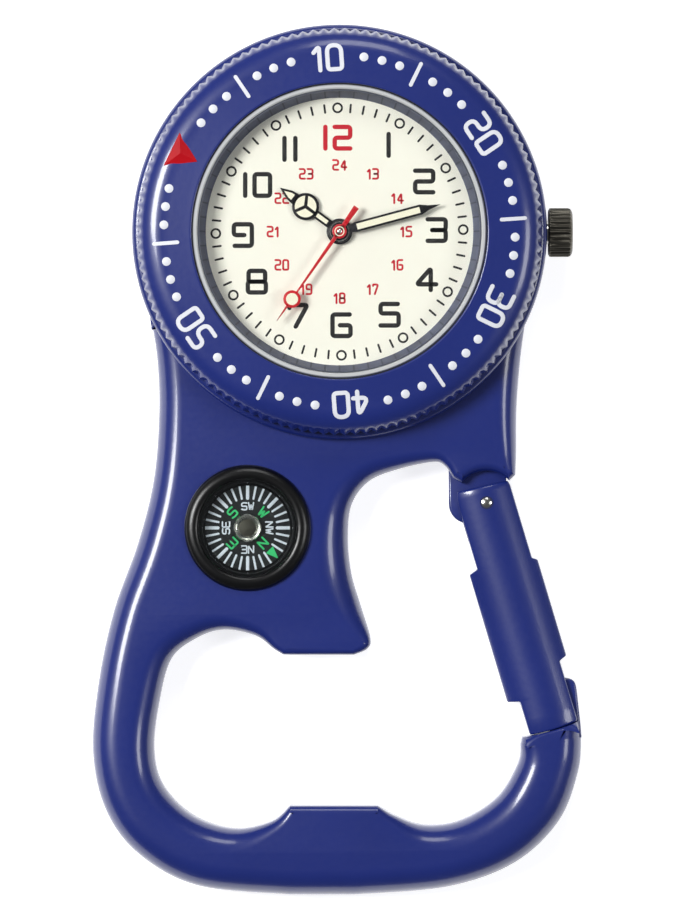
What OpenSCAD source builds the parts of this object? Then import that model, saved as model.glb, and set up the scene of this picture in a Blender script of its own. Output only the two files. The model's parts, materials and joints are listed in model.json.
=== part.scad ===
/*
 Clip-on fob watch: a carabiner frame with a bottle opener, a sprung gate, a button compass
 and a quartz watch head with a rotating count-up bezel.
 It lies on its back. The origin is on the watch's axis at the back face, +Z points out of the
 dial and +Y points to twelve o'clock.
*/

/* [Frame] */
// Thickness of the carabiner frame
frame_t = 5.6; // [5.4:0.1:6.4]
// Radius of the watch head
head_r = 20.75; // [20.6:0.05:22]
// Height of the watch head's shoulder under the bezel
head_h = 7; // [6.95:0.05:7.05]

/* [Watch] */
// Radius of the dial opening
opening_r = 14.15; // [14.13:0.01:14.16]
// Outer radius of the turning bezel
bezel_r = 20.3; // [19.8:0.1:20.5]
// Number of scallops round the bezel's grip
scallops = 120; // [60:12:144]
// Height of the dial's front face
dial_z = 7.3; // [7.28:0.01:7.32]
// Radius of the crown
crown_r = 2.45; // [2.2:0.05:2.9]
// Number of flutes round the crown
flutes = 24; // [16:2:32]

/* [Compass] */
// Distance of the compass's centre left of the watch's axis
compass_x = 9.2; // [9:0.1:9.4]
// Distance of the compass's centre below the watch's axis
compass_y = 29.6; // [29.4:0.1:30]
// Outer radius of the compass's ring
compass_r = 6.35; // [6.2:0.05:6.6]

/* [Gate] */
// Length of the gate from its pin to its end
gate_l = 23.5; // [23.3:0.1:23.6]
// Lean of the closed gate from straight down, in degrees
gate_lean = 16.65; // [16.4:0.05:16.9]

/* [Hidden] */
$fn = 72;

// Allowance that makes a cut run past a face
past = 1;
compass = [-compass_x, -compass_y];

// Heights in the watch head, from the back up
back_t = 0.9;
gasket_top = 1.3;
holder_z = 2.05;
bridge_z = 2.7;
bridge_t = 0.4;
plate_z = 5;
plate_top = 6.2;
dial_t = 0.4;
crystal_z = 8.9;
crystal_top = 10.15;
neck_top = 10;
stem_z = 3.9;

// Radii in the watch head
bore_r = 16.5;
back_r = 18.2;
plate_r = 11.6;
dial_seat_r = 14.8;
chapter_r = 13.35;
dial_seat_z = 6.4;
neck_r = 15.35;
rim_seat_r = 14.62;
bezel_bore_r = 15.4;

// The gate's pin, its slot and the frame's tongues that go into it
pin = [14.72, -27.07];
pin_r = 0.6;
ear_r = 3.05;
hinge_cut_r = 3.2;
gate_z = 0.25;
gate_t = frame_t - 2 * gate_z;
tongue_t = 2.6;
tongue_z = (frame_t - tongue_t) / 2;
slot_gap = 0.05;
nose_cut_r = gate_l + 0.3;
catch_r = 19.2;
spring_bore_r = 1.05;

// Places of the movement's wheels
function between(p, dp, q, dq) =
    let (
        d = norm(q - p),
        along = (dp * dp - dq * dq + d * d) / (2 * d),
        side = sqrt(dp * dp - along * along),
        u = (q - p) / d
    )
    p + along * u + side * [-u[1], u[0]];
mesh_gap = 0.03;
rotor_at = [2.4, 5.1];
rotor_pinion_r = 0.4;
fifth_r = 2.4;
fifth_pinion_r = 0.55;
second_r = 2.75;
fifth_at = between(rotor_at, rotor_pinion_r + fifth_r + mesh_gap,
                   [0, 0], fifth_pinion_r + second_r + mesh_gap);
second_pinion_r = 0.4;
third_r = 3;
third_pinion_r = (second_pinion_r + third_r) / 9;
minute_r = 8 * third_pinion_r;
third_turn = 170;
third_at = (second_pinion_r + third_r + mesh_gap) * [cos(third_turn), sin(third_turn)];
cannon_r = 0.7;
motion_r = 2.1;
motion_pinion_r = (cannon_r + motion_r) / 5;
hour_r = 4 * motion_pinion_r;
motion_turn = 250;
motion_at = (cannon_r + motion_r + mesh_gap) * [cos(motion_turn), sin(motion_turn)];
battery_at = [-2, -6.7];
battery_r = 3.4;
lugs = [[5.4, -1.7], [-4.4, -2.9], [-7.6, 2.2]];
pivot_hole_r = 0.2;
pivot_r = 0.15;

// A smooth line through a list of points
function bend(a, b, c, d, t) =
    0.5 * (2 * b + (c - a) * t + (2 * a - 5 * b + 4 * c - d) * t * t
           + (3 * b - a - 3 * c + d) * t * t * t);
function curve(p, steps = 5) = [
    for (i = [0:len(p) - 2])
        for (k = [0:i == len(p) - 2 ? steps : steps - 1])
            bend(p[max(i - 1, 0)], p[i], p[i + 1], p[min(i + 2, len(p) - 1)], k / steps)
];

// Outline of a toothed wheel: each tooth has two points at its tip and two at its foot
function toothed(r, teeth, depth) = [
    for (i = [0:teeth - 1])
        for (part = [[0, -depth], [0.3, -depth], [0.45, 0], [0.85, 0]])
            let (turn = (i + part[0]) * 360 / teeth)
            (r + part[1]) * [cos(turn), sin(turn)]
];

module wheel(r, z, t, teeth) {
    translate([0, 0, z])
        linear_extrude(t)
            polygon(toothed(r, teeth, 0.12));
}

module tube(r, inner_r, z, h) {
    translate([0, 0, z])
        difference() {
            cylinder(r = r, h = h);
            translate([0, 0, -past])
                cylinder(r = inner_r, h = h + 2 * past);
        }
}

module hole(r, at = [0, 0], z = -past, h = 30) {
    translate([at[0], at[1], z])
        cylinder(r = r, h = h);
}

// Puts its children in the gate's own place: origin on the pin, gate pointing to -Y
module on_gate() {
    translate([pin[0], pin[1], 0])
        rotate([0, 0, gate_lean])
            children();
}

/* ---------- frame and gate ---------- */

// Outline of the frame below the watch head, walked down the left side and back up inside
frame_left = [[-18.9, -8], [-18.2, -13], [-18.1, -18], [-18.65, -24.8], [-20.25, -31.2],
              [-22.55, -37.6], [-24.1, -44.6], [-24.75, -52], [-23.4, -58], [-20.05, -62.4],
              [-14.2, -65.5], [-5, -66.4]];
frame_right = [[1.5, -66.4], [10.85, -65.6], [17.55, -63.2], [22, -59], [23.95, -54],
               [24.25, -49.5], [24, -46.5], [23.4, -44.2]];
inside_right = [[18.4, -44.2], [18.25, -49.5], [17.9, -53.2], [15.85, -56.6], [12.2, -58.9],
                [8.5, -59.4], [5.5, -58.4], [3.85, -57.4]];
inside_left = [[-4.95, -57.4], [-6.8, -59], [-10.6, -59.75], [-14.75, -58.4], [-17.7, -55.4],
               [-18.6, -51.8], [-18.1, -47.2], [-16.9, -42.8], [-14.4, -40.7],
               [-11.6, -39.8], [-8.4, -40.4], [-6.6, -41.7], [-5.6, -42.3]];
hook = [[1.45, -42.3], [2.8, -41.7], [3.1, -40.6], [2.2, -37.6], [1.2, -34.2], [0.85, -30.5],
        [1.25, -27.2], [3, -24.9], [6, -23.7], [9.4, -23], [10.6, -23.4], [11.4, -25.2]];
hinge_end = [[12, -27.5], [17.6, -27.5], [17.65, -24], [17.65, -19], [18.3, -13], [19.4, -8]];

module frame_plate() {
    linear_extrude(frame_t)
        polygon(concat(curve(frame_left), curve(frame_right), curve(inside_right),
                       curve(inside_left), curve(hook), hinge_end));
}

// What the gate needs cut from the frame's full thickness at its hinge and at its catch
module gate_room(z, h) {
    translate([pin[0], pin[1], z])
        cylinder(r = hinge_cut_r, h = h);
    translate([0, 0, z])
        linear_extrude(h)
            intersection() {
                translate(pin)
                    circle(r = nose_cut_r);
                translate([17, -52])
                    square([9, 9]);
            }
}

// Hinge tongue: a round eye with a cam lobe that pushes the plunger when the gate opens, and a
// cheek that shows beside the gate on the inner side
module hinge_tongue() {
    lobe = 1;
    eye_r = 2;
    lobe_turn = gate_lean - 90 - 40;
    cheek = [-1.77, -0.13];
    translate([pin[0], pin[1], tongue_z])
        linear_extrude(tongue_t)
            union() {
                circle(r = eye_r);
                translate(lobe * [cos(lobe_turn), sin(lobe_turn)])
                    circle(r = eye_r);
                translate(cheek)
                    circle(r = eye_r);
                translate([cheek[0] - eye_r, cheek[1]])
                    square([2 * eye_r, 3.6]);
                translate([-eye_r, 0])
                    square([2 * eye_r, hinge_cut_r + 0.6]);
            }
}

// Catch tongue: it stands up out of the nose and into the gate's side slot
module catch_tongue() {
    on_gate()
        translate([0, 0, tongue_z])
            linear_extrude(tongue_t)
                difference() {
                    polygon([[-0.5, -nose_cut_r - 1.5], [-0.5, -18], [3.3, -18],
                             [3.3, -20.8], [2.6, -nose_cut_r - 1.5]]);
                    circle(r = catch_r);
                }
}

module carabiner_frame() {
    color("#22338c")
        difference() {
            union() {
                difference() {
                    frame_plate();
                    gate_room(-past, frame_t + 2 * past);
                }
                cylinder(r = head_r, h = head_h);
                cylinder(r = neck_r, h = neck_top);
                hinge_tongue();
                catch_tongue();
            }
            hole(back_r + 0.05, z = -past, h = past + gasket_top);
            hole(bore_r, z = 0, h = dial_seat_z);
            hole(dial_seat_r, z = 0, h = dial_z);
            hole(opening_r, z = 0, h = 20);
            hole(rim_seat_r, z = crystal_z - 0.05, h = 5);
            // groove for the bezel's spring
            translate([0, 0, 8.2])
                difference() {
                    cylinder(r = neck_r + past, h = 0.6);
                    translate([0, 0, -past])
                        cylinder(r = 15, h = 3);
                }
            // bore for the crown's tube
            translate([15, 0, stem_z])
                rotate([0, 90, 0])
                    cylinder(r = 1.2, h = 8);
            hole(6, compass, 1, 10);
            hole(pin_r + 0.04, pin);
        }
}

module gate() {
    narrow = 2.8;
    color("#22338c")
        on_gate()
            difference() {
                translate([0, 0, gate_z])
                    linear_extrude(gate_t)
                        union() {
                            intersection() {
                                circle(r = ear_r);
                                translate([-narrow, -ear_r])
                                    square([2 * narrow, 2 * ear_r]);
                            }
                            polygon(concat(
                                [[-narrow, 0]],
                                curve([[-narrow, -5], [-3.5, -6], [-3.7, -7], [-3.7, -19],
                                       [-3.3, -20.2], [-2.5, -21]]),
                                [[-2.5, -gate_l], [2.5, -gate_l]],
                                curve([[2.5, -18.4], [3.1, -17.4], [3.3, -16.4], [3.3, -7],
                                       [3.2, -6], [narrow, -5]]),
                                [[narrow, 0]]));
                        }
                // slot for the hinge tongue
                translate([-5, -3.3, tongue_z - slot_gap])
                    cube([10, 8, tongue_t + 2 * slot_gap]);
                // slot for the catch tongue, open to the outer side
                translate([0, 0, tongue_z - slot_gap])
                    linear_extrude(tongue_t + 2 * slot_gap)
                        difference() {
                            translate([-0.7, -gate_l - past])
                                square([6, 7]);
                            circle(r = catch_r - 0.2);
                        }
                // bore for the spring and the plunger
                translate([0, -3, frame_t / 2])
                    rotate([90, 0, 0])
                        cylinder(r = spring_bore_r, h = 7.6);
                hole(pin_r);
            }
}

module gate_pin() {
    color("#c8c9c4")
        translate([pin[0], pin[1], gate_z])
            cylinder(r = pin_r, h = gate_t);
}

plunger_tip = 2.72;
plunger_r = 0.9;

module gate_plunger() {
    color("#b9bbbd")
        on_gate()
            translate([0, -plunger_tip - plunger_r, frame_t / 2])
                rotate([90, 0, 0])
                    union() {
                        sphere(r = plunger_r);
                        cylinder(r = plunger_r, h = 1.2);
                        cylinder(r = 0.5, h = 2.4);
                    }
}

// A round wire wound to a coil: rings of points joined to a closed skin
module coil_wire(r, wire_r, length, turns, per_turn = 16, sides = 8) {
    last = turns * per_turn;
    rings = [
        for (i = [0:last])
            for (k = [0:sides - 1])
                let (
                    turn = 360 * i / per_turn,
                    round = 360 * k / sides,
                    far = r + wire_r * cos(round)
                )
                [far * cos(turn), far * sin(turn), length * i / last + wire_r * sin(round)]
    ];
    skin = [
        for (i = [0:last - 1])
            for (k = [0:sides - 1])
                let (n = (k + 1) % sides)
                [i * sides + k, i * sides + n, (i + 1) * sides + n, (i + 1) * sides + k]
    ];
    ends = [[for (k = [sides - 1:-1:0]) k], [for (k = [0:sides - 1]) last * sides + k]];
    polyhedron(rings, concat(skin, ends));
}

module gate_spring() {
    wire = 0.14;
    color("#9a9ca0")
        on_gate()
            translate([0, -5.5, frame_t / 2])
                rotate([90, 0, 0])
                    coil_wire(0.78, wire, 4.8, 8);
}

/* ---------- bezel, glass and dial ---------- */

// Triangle in the bezel's sixty place: its base lies out, its point towards the glass
triangle_turn = 154;
module triangle(z, h) {
    rotate([0, 0, triangle_turn])
        translate([0, 0, z])
            linear_extrude(h)
                polygon([[15.8, 0], [18.6, 1.75], [18.6, -1.75]]);
}

module bezel() {
    crest = [17.9, 7.6];
    reach = [bezel_r + 0.25 - crest[0], 2.3];
    groove_r = 15.8;
    color("#22338c")
        difference() {
            intersection() {
                rotate_extrude()
                    polygon(concat(
                        [[bezel_bore_r, head_h + 0.1], [bezel_r + 0.1, head_h + 0.1]],
                        [for (t = [0:15:90]) crest + [reach[0] * cos(t), reach[1] * sin(t)]],
                        [[15.2, 10.1], [15, 10.3], [14.75, 10.3], [14.75, 10.05],
                         [bezel_bore_r, 10.05], [bezel_bore_r, 8.8], [groove_r, 8.8],
                         [groove_r, 8.2], [bezel_bore_r, 8.2]]));
                // the grip: shallow scallops all round the edge
                translate([0, 0, head_h - past])
                    linear_extrude(10)
                        polygon([for (i = [0:2 * scallops - 1])
                            (bezel_r - (i % 2) * 0.2) * [cos(180 * i / scallops),
                                                         sin(180 * i / scallops)]]);
            }
            triangle(9.6, 3);
        }
}

module bezel_triangle() {
    color("#d8101c")
        triangle(9.6, 0.7);
}

module bezel_spring() {
    color("#b0b2b5")
        difference() {
            tube(15.65, 15.1, 8.3, 0.4);
            translate([14, -0.8, 8])
                cube([3, 1.6, 1]);
        }
}

module crystal() {
    color("#dfeef2", 0.3)
        translate([0, 0, crystal_z])
            cylinder(r = 13.95, h = crystal_top - crystal_z);
}

module crystal_gasket() {
    color("#e8e8e4")
        tube(14.12, 13.97, crystal_z, 1);
}

module crystal_rim() {
    color("#d4d8da")
        tube(rim_seat_r - 0.01, opening_r, crystal_z - 0.04, 1.3);
}

module chapter_ring() {
    color("#5a6072")
        rotate_extrude()
            polygon([[chapter_r, dial_z], [14.1, dial_z], [14.1, crystal_z - 0.05],
                     [14.02, crystal_z - 0.05]]);
}

dial_feet = [[-9.6, 3.2], [9.6, -3.2]];
module dial() {
    color("#fbfbe6")
        difference() {
            union() {
                translate([0, 0, dial_z - dial_t])
                    cylinder(r = dial_seat_r - 0.1, h = dial_t);
                for (at = dial_feet)
                    translate([at[0], at[1], plate_z + 0.3])
                        cylinder(r = 0.35, h = dial_z - plate_z - 0.5);
            }
            hole(1);
        }
}

/* ---------- hands ---------- */

// Places its children at a hand's turn, counted clockwise from twelve, pointing to +Y
module at_turn(turn) {
    rotate([0, 0, -turn])
        children();
}

hour_turn = 306.3;
minute_turn = 75;
second_turn = 215;
hour_tube_r = 0.85;
cannon_tube_r = 0.55;
second_arbor_r = 0.16;

module hour_hand() {
    color("#1c1c20")
        at_turn(hour_turn)
            translate([0, 0, 7.55])
                linear_extrude(0.2)
                    difference() {
                        union() {
                            circle(r = 1.3);
                            translate([-0.5, 0])
                                square([1, 3.2]);
                            difference() {
                                translate([0, 4.2])
                                    circle(r = 1.33);
                                translate([0, 4.2])
                                    circle(r = 0.95);
                            }
                            for (spoke = [0, 120, 240])
                                translate([0, 4.2])
                                    rotate(spoke)
                                        translate([-0.14, -1.2])
                                            square([0.28, 1.2]);
                            polygon([[-0.5, 5.35], [0.5, 5.35], [0.42, 6.3], [0, 7.4],
                                     [-0.42, 6.3]]);
                        }
                        circle(r = hour_tube_r);
                    }
}

module minute_hand() {
    color("#1c1c20")
        at_turn(minute_turn)
            translate([0, 0, 7.95])
                linear_extrude(0.2)
                    difference() {
                        union() {
                            circle(r = 1.12);
                            polygon([[-0.5, 0], [0.5, 0], [0.5, 8.6], [0, 10.46],
                                     [-0.5, 8.6]]);
                        }
                        circle(r = cannon_tube_r);
                    }
}

module second_hand() {
    color("#c8141e")
        at_turn(second_turn)
            translate([0, 0, 8.4])
                linear_extrude(0.15)
                    difference() {
                        union() {
                            circle(r = 0.75);
                            polygon([[-0.3, -2.95], [0.3, -2.95], [0.2, 0], [0.1, 7.45],
                                     [-0.1, 7.45], [-0.2, 0]]);
                            difference() {
                                translate([0, 8.25])
                                    circle(r = 0.88);
                                translate([0, 8.25])
                                    circle(r = 0.62);
                            }
                            polygon([[-0.12, 9.05], [0.12, 9.05], [0, 10.9]]);
                        }
                        circle(r = second_arbor_r);
                    }
}

/* ---------- movement ---------- */

module movement_holder() {
    color("#e6e6e0")
        difference() {
            union() {
                tube(bore_r - 0.1, plate_r + 0.15, holder_z, dial_seat_z - 0.05 - holder_z);
                tube(dial_seat_r - 0.1, plate_r + 0.15, holder_z, dial_z - dial_t - holder_z);
                tube(plate_r + 0.3, 11, plate_top + 0.05, dial_z - dial_t - plate_top - 0.05);
            }
            translate([10, 0, stem_z])
                rotate([0, 90, 0])
                    cylinder(r = 0.8, h = 8);
        }
}

// Where the lever turns: its stud swings as far to one side of the pivot as to the other
lever_pivot = [10, 2.4];
crown_travel = 0.8;
module main_plate() {
    color("#c9b26a")
        difference() {
            union() {
                translate([0, 0, plate_z])
                    cylinder(r = plate_r, h = plate_top - plate_z);
                for (at = lugs)
                    translate([at[0], at[1], bridge_z + bridge_t])
                        cylinder(r = 0.55, h = plate_z - bridge_z - bridge_t + 0.1);
            }
            hole(0.6);
            for (at = lugs)
                hole(0.32, at, 0, plate_top - 0.2);
            for (at = [rotor_at, fifth_at, third_at])
                hole(pivot_hole_r, at, 0, plate_z + 0.6);
            hole(pivot_hole_r, motion_at, plate_z + 0.4, 3);
            hole(0.34, lever_pivot, 0, plate_z + 0.6);
            for (at = dial_feet)
                hole(0.4, at, plate_z + 0.2, 3);
        }
}

module train_bridge() {
    color("#d0d0cc")
        translate([0, 0, bridge_z])
            difference() {
                union() {
                    translate([-0.2, 1.9, 0])
                        cylinder(r = 4.6, h = bridge_t);
                    for (at = lugs) {
                        translate([at[0], at[1], 0])
                            cylinder(r = 0.9, h = bridge_t);
                        rotate([0, 0, atan2(at[1], at[0])])
                            translate([0, -0.6, 0])
                                cube([norm(at), 1.2, bridge_t]);
                    }
                }
                for (at = lugs)
                    hole(0.35, at);
                for (at = [rotor_at, fifth_at, third_at, [0, 0]])
                    hole(pivot_hole_r, at);
            }
}

module movement_screws() {
    color("#d9d9d9")
        for (at = lugs)
            translate([at[0], at[1], bridge_z - 0.4])
                difference() {
                    union() {
                        cylinder(r = 0.7, h = 0.4);
                        cylinder(r = 0.3, h = 3);
                    }
                    translate([-1, -0.1, -0.1])
                        cube([2, 0.2, 0.25]);
                }
}

coil_y = 8.4;
coil_z = 3.8;
module coil() {
    color("#b3562d")
        translate([-4.5, coil_y, coil_z])
            difference() {
                rotate([0, 90, 0])
                    cylinder(r = 1.05, h = 9);
                translate([-past, -0.5, -0.35])
                    cube([12, 1, 0.7]);
            }
}

module coil_core() {
    color("#8c8f94")
        union() {
            translate([-6.9, coil_y - 0.45, coil_z - 0.3])
                cube([13.8, 0.9, 0.6]);
            for (x = [-6.9, 5.7])
                translate([x, coil_y - 0.45, coil_z])
                    cube([1.2, 0.9, 0.65]);
        }
}

module stator() {
    color("#9b9ea3")
        translate([0, 0, 4.45])
            linear_extrude(0.45)
                difference() {
                    polygon([[-7, 8.9], [-7, 3.7], [7, 3.7], [7, 8.9], [5.6, 8.9], [5.6, 6.9],
                             [-5.6, 6.9], [-5.6, 8.9]]);
                    translate(rotor_at)
                        circle(r = 0.95);
                }
}

module arbor(at, z, top) {
    translate([at[0], at[1], z])
        cylinder(r = pivot_r, h = top - z);
}

pivot_low = bridge_z + 0.05;
pivot_high = plate_z + 0.5;

module rotor() {
    color("#55585c")
        union() {
            arbor(rotor_at, pivot_low, pivot_high);
            translate([rotor_at[0], rotor_at[1], 0]) {
                wheel(rotor_pinion_r, 3.2, 0.4, 8);
                translate([0, 0, 4.3])
                    cylinder(r = 0.75, h = 0.65);
            }
        }
}

module fifth_wheel() {
    color("#d6b25a")
        union() {
            arbor(fifth_at, pivot_low, pivot_high);
            translate([fifth_at[0], fifth_at[1], 0]) {
                wheel(fifth_r, 3.3, 0.2, 48);
                wheel(fifth_pinion_r, 3.65, 0.45, 8);
            }
        }
}

module second_wheel() {
    color("#d6b25a")
        union() {
            arbor([0, 0], pivot_low, 8.55);
            wheel(second_r, 3.8, 0.2, 40);
            wheel(second_pinion_r, 4.1, 0.3, 8);
        }
}

module third_wheel() {
    color("#d6b25a")
        union() {
            arbor(third_at, pivot_low, pivot_high);
            translate([third_at[0], third_at[1], 0]) {
                wheel(third_r, 4.15, 0.2, 60);
                wheel(third_pinion_r, 4.45, 0.3, 8);
            }
        }
}

// Minute wheel: one tube carries its disc, the cannon pinion and the minute hand
module minute_wheel() {
    color("#d6b25a")
        difference() {
            union() {
                wheel(minute_r, 4.5, 0.2, 64);
                translate([0, 0, 4.5])
                    cylinder(r = cannon_tube_r, h = 8.15 - 4.5);
                wheel(cannon_r, 6.25, 0.17, 12);
            }
            hole(0.22);
        }
}

module motion_wheel() {
    color("#d6b25a")
        union() {
            arbor(motion_at, plate_z + 0.5, 6.75);
            translate([motion_at[0], motion_at[1], 0]) {
                wheel(motion_r, 6.25, 0.15, 36);
                wheel(motion_pinion_r, 6.4, 0.32, 9);
            }
        }
}

module hour_wheel() {
    color("#d6b25a")
        difference() {
            union() {
                wheel(hour_r, 6.5, 0.2, 36);
                translate([0, 0, 6.5])
                    cylinder(r = hour_tube_r, h = 7.75 - 6.5);
            }
            hole(0.62);
        }
}

module battery() {
    color("#c4c6c8")
        translate([battery_at[0], battery_at[1], 2.75])
            union() {
                cylinder(r = battery_r - 0.4, h = 0.3);
                translate([0, 0, 0.3])
                    cylinder(r = battery_r, h = 1.9);
            }
}

module battery_clamp() {
    color("#cfcfca")
        translate([0, 0, 2.4])
            linear_extrude(0.3)
                intersection() {
                    circle(r = plate_r - 0.4);
                    union() {
                        translate([battery_at[0] - 0.9, -11])
                            square([1.8, 5.6]);
                        translate([battery_at[0] - 4, -7.4])
                            square([8, 1.4]);
                    }
                }
}

module circuit_board() {
    color("#2f6b3c")
        translate([0, 0, plate_z - 0.3])
            linear_extrude(0.3)
                intersection() {
                    circle(r = plate_r - 0.4);
                    translate([1.9, -9.6])
                        square([8.4, 6.6]);
                }
}

module quartz_can() {
    color("#cfd2d4")
        translate([3.6, -7.2, 3.9])
            rotate([0, 90, 0])
                cylinder(r = 0.75, h = 5);
}

module driver_chip() {
    color("#1a1a1c")
        translate([3.4, -5.6, 4.1])
            cube([1.8, 1.8, 0.6]);
}

// Turns its children, drawn along +Z, to lie along +X on the stem's line
module along_stem(x) {
    translate([x, 0, stem_z])
        rotate([0, 90, 0])
            children();
}

stem_r = 0.45;
groove_x = 9.25;
module setting_stem() {
    color("#a9acb0")
        along_stem(5)
            difference() {
                cylinder(r = stem_r, h = 17.9);
                tube(stem_r + 0.3, 0.25, groove_x - 5, 0.7);
            }
}

module sliding_pinion() {
    color("#a9acb0")
        along_stem(6.6)
            difference() {
                linear_extrude(1.6)
                    polygon(toothed(0.9, 14, 0.12));
                hole(stem_r);
            }
}

module setting_lever() {
    swing = asin(crown_travel / 2 / lever_pivot[1]);
    arm = lever_pivot[1] / cos(swing);
    color("#a9acb0")
        translate([lever_pivot[0], lever_pivot[1], 0])
            rotate([0, 0, -swing])
                union() {
                    translate([0, 0, 4.55])
                        linear_extrude(0.3)
                            union() {
                                circle(r = 0.6);
                                translate([-0.3, -arm])
                                    square([0.6, arm]);
                                translate([0, -arm])
                                    circle(r = 0.3);
                            }
                    translate([0, 0, 4.55])
                        cylinder(r = 0.3, h = 0.9);
                    translate([0, -arm, 4.2])
                        cylinder(r = 0.2, h = 0.5);
                }
}

/* ---------- crown and back ---------- */

crown_x = 20.9;
crown_end = 23.35;
tube_r = 1.2;
crown_hollow_r = 1.5;

module crown() {
    color("#35332e")
        along_stem(crown_x)
            difference() {
                linear_extrude(crown_end - crown_x)
                    polygon(toothed(crown_r, flutes, 0.2));
                hole(crown_hollow_r, z = -past, h = past + 1.7);
                hole(stem_r, z = 0, h = 2);
            }
}

module crown_gasket() {
    color("#202020")
        along_stem(21.1)
            tube(crown_hollow_r - 0.01, tube_r + 0.02, 0, 0.4);
}

module crown_tube() {
    color("#b5b8ba")
        along_stem(16.6)
            tube(tube_r, 0.7, 0, 5.7);
}

module case_back() {
    color("#c3c6c8")
        union() {
            cylinder(r = back_r, h = back_t);
            tube(16.3, 15.7, back_t, 2 - back_t);
        }
}

module case_back_gasket() {
    color("#202020")
        tube(18, 16.8, back_t, gasket_top - back_t);
}

/* ---------- compass ---------- */

module on_compass() {
    translate([compass[0], compass[1], 0])
        children();
}

module compass_cup() {
    color("#151517")
        on_compass()
            difference() {
                translate([0, 0, 1])
                    cylinder(r = 5.98, h = 4.6);
                hole(5.3, z = 1.6, h = 10);
                hole(0.25, z = 1.2, h = 2);
            }
}

module compass_ring() {
    color("#151517")
        on_compass()
            rotate_extrude()
                polygon(concat(
                    [[4.95, frame_t + 0.02], [compass_r, frame_t + 0.02]],
                    [for (t = [0:18:90]) [compass_r - 0.5 + 0.5 * cos(t),
                                          frame_t + 0.5 + 0.5 * sin(t)]],
                    [[5.4, frame_t + 1], [4.95, frame_t + 0.7]]));
}

module compass_dome() {
    skin = 0.5;
    color("#e8f2f4", 0.3)
        on_compass()
            rotate_extrude()
                polygon(concat(
                    [[5.25, 5], [5.25, 5.5], [4.9, 5.5], [4.9, 6.3]],
                    [for (x = [4.2, 3.2, 2, 0]) [x, 6.9 - 0.6 * pow(x / 4.9, 2)]],
                    [for (x = [0, 2, 3.2, 4.2]) [x, 6.9 - skin - 0.6 * pow(x / 4.9, 2)]],
                    [[4.4, 5]]));
}

module compass_card() {
    color("#17181a")
        on_compass()
            tube(4.45, 0.5, 4.2, 0.2);
}

module compass_magnet() {
    color("#6e7074")
        on_compass()
            difference() {
                translate([-3, -0.9, 3.6])
                    cube([6, 1.8, 0.6]);
                hole(0.5);
            }
}

module compass_pivot() {
    color("#b9bbbd")
        on_compass()
            union() {
                translate([0, 0, 1.2])
                    cylinder(r = 0.25, h = 2.9);
                translate([0, 0, 4.1])
                    cylinder(r1 = 0.25, r2 = 0.04, h = 0.4);
            }
}

module compass_cap() {
    color("#c2c3bd")
        on_compass()
            difference() {
                union() {
                    translate([0, 0, 4.4])
                        cylinder(r = 1.4, h = 0.35);
                    translate([0, 0, 4.2])
                        cylinder(r = 0.5, h = 0.3);
                }
                hole(0.35, z = 4.1, h = 0.45);
                hole(0.85, z = 4.65, h = 1);
            }
}

carabiner_frame();
gate();
gate_pin();
gate_spring();
gate_plunger();
bezel();
bezel_triangle();
bezel_spring();
crystal();
crystal_gasket();
crystal_rim();
chapter_ring();
dial();
hour_hand();
minute_hand();
second_hand();
movement_holder();
main_plate();
train_bridge();
movement_screws();
coil();
coil_core();
stator();
rotor();
fifth_wheel();
second_wheel();
third_wheel();
minute_wheel();
motion_wheel();
hour_wheel();
battery();
battery_clamp();
circuit_board();
quartz_can();
driver_chip();
setting_stem();
sliding_pinion();
setting_lever();
crown();
crown_gasket();
crown_tube();
case_back();
case_back_gasket();
compass_cup();
compass_ring();
compass_dome();
compass_card();
compass_magnet();
compass_pivot();
compass_cap();
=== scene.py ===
import json
import math

import bpy
import numpy as np
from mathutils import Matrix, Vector
from mathutils.geometry import tessellate_polygon


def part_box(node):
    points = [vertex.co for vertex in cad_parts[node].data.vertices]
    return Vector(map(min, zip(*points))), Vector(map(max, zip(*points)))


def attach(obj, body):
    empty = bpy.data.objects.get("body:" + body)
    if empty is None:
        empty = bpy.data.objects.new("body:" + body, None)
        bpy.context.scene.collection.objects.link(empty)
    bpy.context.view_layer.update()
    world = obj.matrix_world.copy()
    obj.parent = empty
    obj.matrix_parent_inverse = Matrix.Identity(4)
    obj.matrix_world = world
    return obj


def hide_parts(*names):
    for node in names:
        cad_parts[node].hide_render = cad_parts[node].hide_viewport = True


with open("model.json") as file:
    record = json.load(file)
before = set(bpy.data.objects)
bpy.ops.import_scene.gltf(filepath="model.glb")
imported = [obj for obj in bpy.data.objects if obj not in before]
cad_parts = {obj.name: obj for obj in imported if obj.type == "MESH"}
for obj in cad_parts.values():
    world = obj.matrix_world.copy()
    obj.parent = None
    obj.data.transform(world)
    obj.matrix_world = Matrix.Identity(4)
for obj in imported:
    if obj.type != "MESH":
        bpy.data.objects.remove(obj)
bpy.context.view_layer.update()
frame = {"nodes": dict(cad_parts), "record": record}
nodes = frame["nodes"]
mm = 0.001


# ---------- Cobalt paint and the carabiner frame ----------
# The frame is one zinc casting, sprayed cobalt blue and left satin. Its limbs are nearly
# round; the plate round the compass and the opener's two lips stay flat.

def linear(hex_colour, alpha=1.0):
    """An sRGB hex colour as linear RGBA."""
    part = [int(hex_colour[i:i + 2], 16) / 255 for i in (1, 3, 5)]
    return (*[c / 12.92 if c <= 0.04045 else ((c + 0.055) / 1.055) ** 2.4 for c in part], alpha)


def add(mat, kind, values=None, links=None, **settings):
    """Adds a shader node: its settings, then its sockets' values, then its links."""
    node = mat.node_tree.nodes.new("ShaderNode" + kind)
    for name, value in settings.items():
        setattr(node, name, value)
    for socket, value in (values or {}).items():
        node.inputs[socket].default_value = value
    for socket, source in (links or {}).items():
        mat.node_tree.links.new(source, node.inputs[socket])
    return node


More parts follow.
